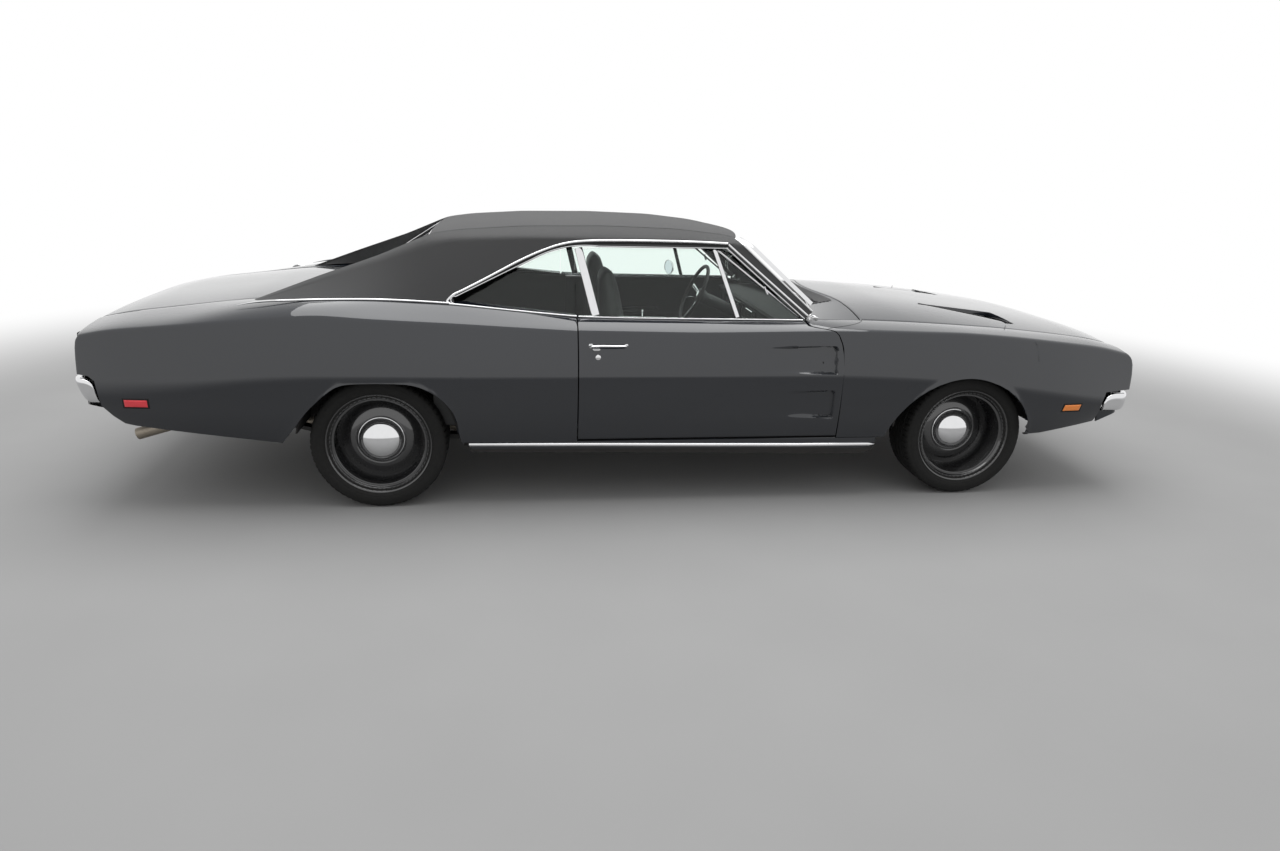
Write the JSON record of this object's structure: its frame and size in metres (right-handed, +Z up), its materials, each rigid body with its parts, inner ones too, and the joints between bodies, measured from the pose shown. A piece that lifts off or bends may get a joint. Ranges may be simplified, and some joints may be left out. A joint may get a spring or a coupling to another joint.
{
  "type": "muscle car",
  "caption": "Fastback hardtop muscle car with swinging doors, opening hood and trunk lid, steering front wheels and freely rolling wheels on deep steel rims.",
  "frame": {"origin": "on the floor under the middle of the car's bounding box", "axes": "+X to the nose, +Y to the car's left, +Z up"},
  "size_m": [5.2828, 1.946, 1.351],
  "materials": {
    "body_paint": "dark blue-grey metallic lacquer",
    "vinyl_roof": "grained black vinyl",
    "tinted_glass": "light green tint",
    "bright_chrome": "polished",
    "grille_black": "satin black",
    "lamp_red": "clear red lens",
    "underbody": "satin black undercoat",
    "engine_iron": "painted casting",
    "chassis_black": "satin black",
    "exhaust_steel": "heat-dulled steel",
    "interior_plastic": "grained black",
    "seat_vinyl": "pleated black vinyl",
    "wheel_black": "gloss black",
    "tyre_rubber": "black rubber"
  },
  "bodies": {
    "body": {"front_fenders": "body_paint", "quarter_panels": "body_paint", "cowl_panel": "body_paint", "rear_deck_panel": "body_paint", "nose_panel": "body_paint", "tail_panel": "body_paint", "front_valance": "body_paint", "side_frames": "vinyl_roof", "roof_panel": "vinyl_roof", "fixed_windows": "tinted_glass", "front_bumper": "bright_chrome", "rear_bumper": "bright_chrome", "grille": "grille_black", "tail_lamps": "lamp_red", "floor_pan": "underbody", "rear_floor": "underbody", "firewall": "underbody", "front_structure": "underbody", "fuel_tank": "underbody", "engine_block": "engine_iron", "front_suspension": "chassis_black", "rear_axle": "chassis_black", "leaf_springs": "chassis_black", "door_hinges": "chassis_black", "hood_hinges": "chassis_black", "trunk_hinges": "chassis_black", "exhaust": "exhaust_steel", "dashboard": "interior_plastic", "steering_wheel": "interior_plastic", "front_seats": "seat_vinyl", "rear_seat": "seat_vinyl"},
    "door_right": {"door_right": "body_paint", "door_glass_right": "tinted_glass"},
    "door_left": {"door_left": "body_paint", "door_glass_left": "tinted_glass", "mirror_left": "bright_chrome"},
    "hood": {"hood": "body_paint"},
    "trunk_lid": {"trunk_lid": "body_paint"},
    "knuckle_left": {"knuckle_left": "chassis_black"},
    "knuckle_right": {"knuckle_right": "chassis_black"},
    "wheel_front_left": {"wheel_front_left": "wheel_black", "tyre_front_left": "tyre_rubber"},
    "wheel_front_right": {"wheel_front_right": "wheel_black", "tyre_front_right": "tyre_rubber"},
    "wheel_rear_left": {"wheel_rear_left": "wheel_black", "tyre_rear_left": "tyre_rubber"},
    "wheel_rear_right": {"wheel_rear_right": "wheel_black", "tyre_rear_right": "tyre_rubber"}
  },
  "joints": [
    {"name": "door_right_hinge", "type": "hinge", "parent": "body", "child": "door_right", "pos_m": [0.855, -0.912, 0.575], "axis": [0, 0, 1], "range_deg": [0, 65]},
    {"name": "door_left_hinge", "type": "hinge", "parent": "body", "child": "door_left", "pos_m": [0.855, 0.912, 0.575], "axis": [0, 0, -1], "range_deg": [0, 65]},
    {"name": "hood_hinge", "type": "hinge", "parent": "body", "child": "hood", "pos_m": [1.056, 0, 0.908], "axis": [0, -1, 0], "range_deg": [0, 40]},
    {"name": "trunk_hinge", "type": "hinge", "parent": "body", "child": "trunk_lid", "pos_m": [-1.5, 0, 0.958], "axis": [0, 1, 0], "range_deg": [0, 45]},
    {"name": "steering_right", "type": "hinge", "parent": "body", "child": "knuckle_right", "pos_m": [1.6755, -0.673, 0.32], "axis": [0, 0, 1], "range_deg": [-30, 30]},
    {"name": "steering_left", "type": "hinge", "parent": "body", "child": "knuckle_left", "pos_m": [1.6755, 0.673, 0.32], "axis": [0, 0, 1], "range_deg": [-30, 30]},
    {"name": "front_left_spin", "type": "hinge", "parent": "knuckle_left", "child": "wheel_front_left", "pos_m": [1.6755, 0.763, 0.32], "axis": [0, 1, 0], "continuous": true},
    {"name": "front_right_spin", "type": "hinge", "parent": "knuckle_right", "child": "wheel_front_right", "pos_m": [1.6755, -0.763, 0.32], "axis": [0, 1, 0], "continuous": true},
    {"name": "rear_left_spin", "type": "hinge", "parent": "body", "child": "wheel_rear_left", "pos_m": [-1.2965, 0.77, 0.32], "axis": [0, 1, 0], "continuous": true},
    {"name": "rear_right_spin", "type": "hinge", "parent": "body", "child": "wheel_rear_right", "pos_m": [-1.2965, -0.77, 0.32], "axis": [0, 1, 0], "continuous": true}
  ],
  "couplings": [
    {"joint": "steering_left", "follows": "steering_right", "ratio": 1}
  ]
}
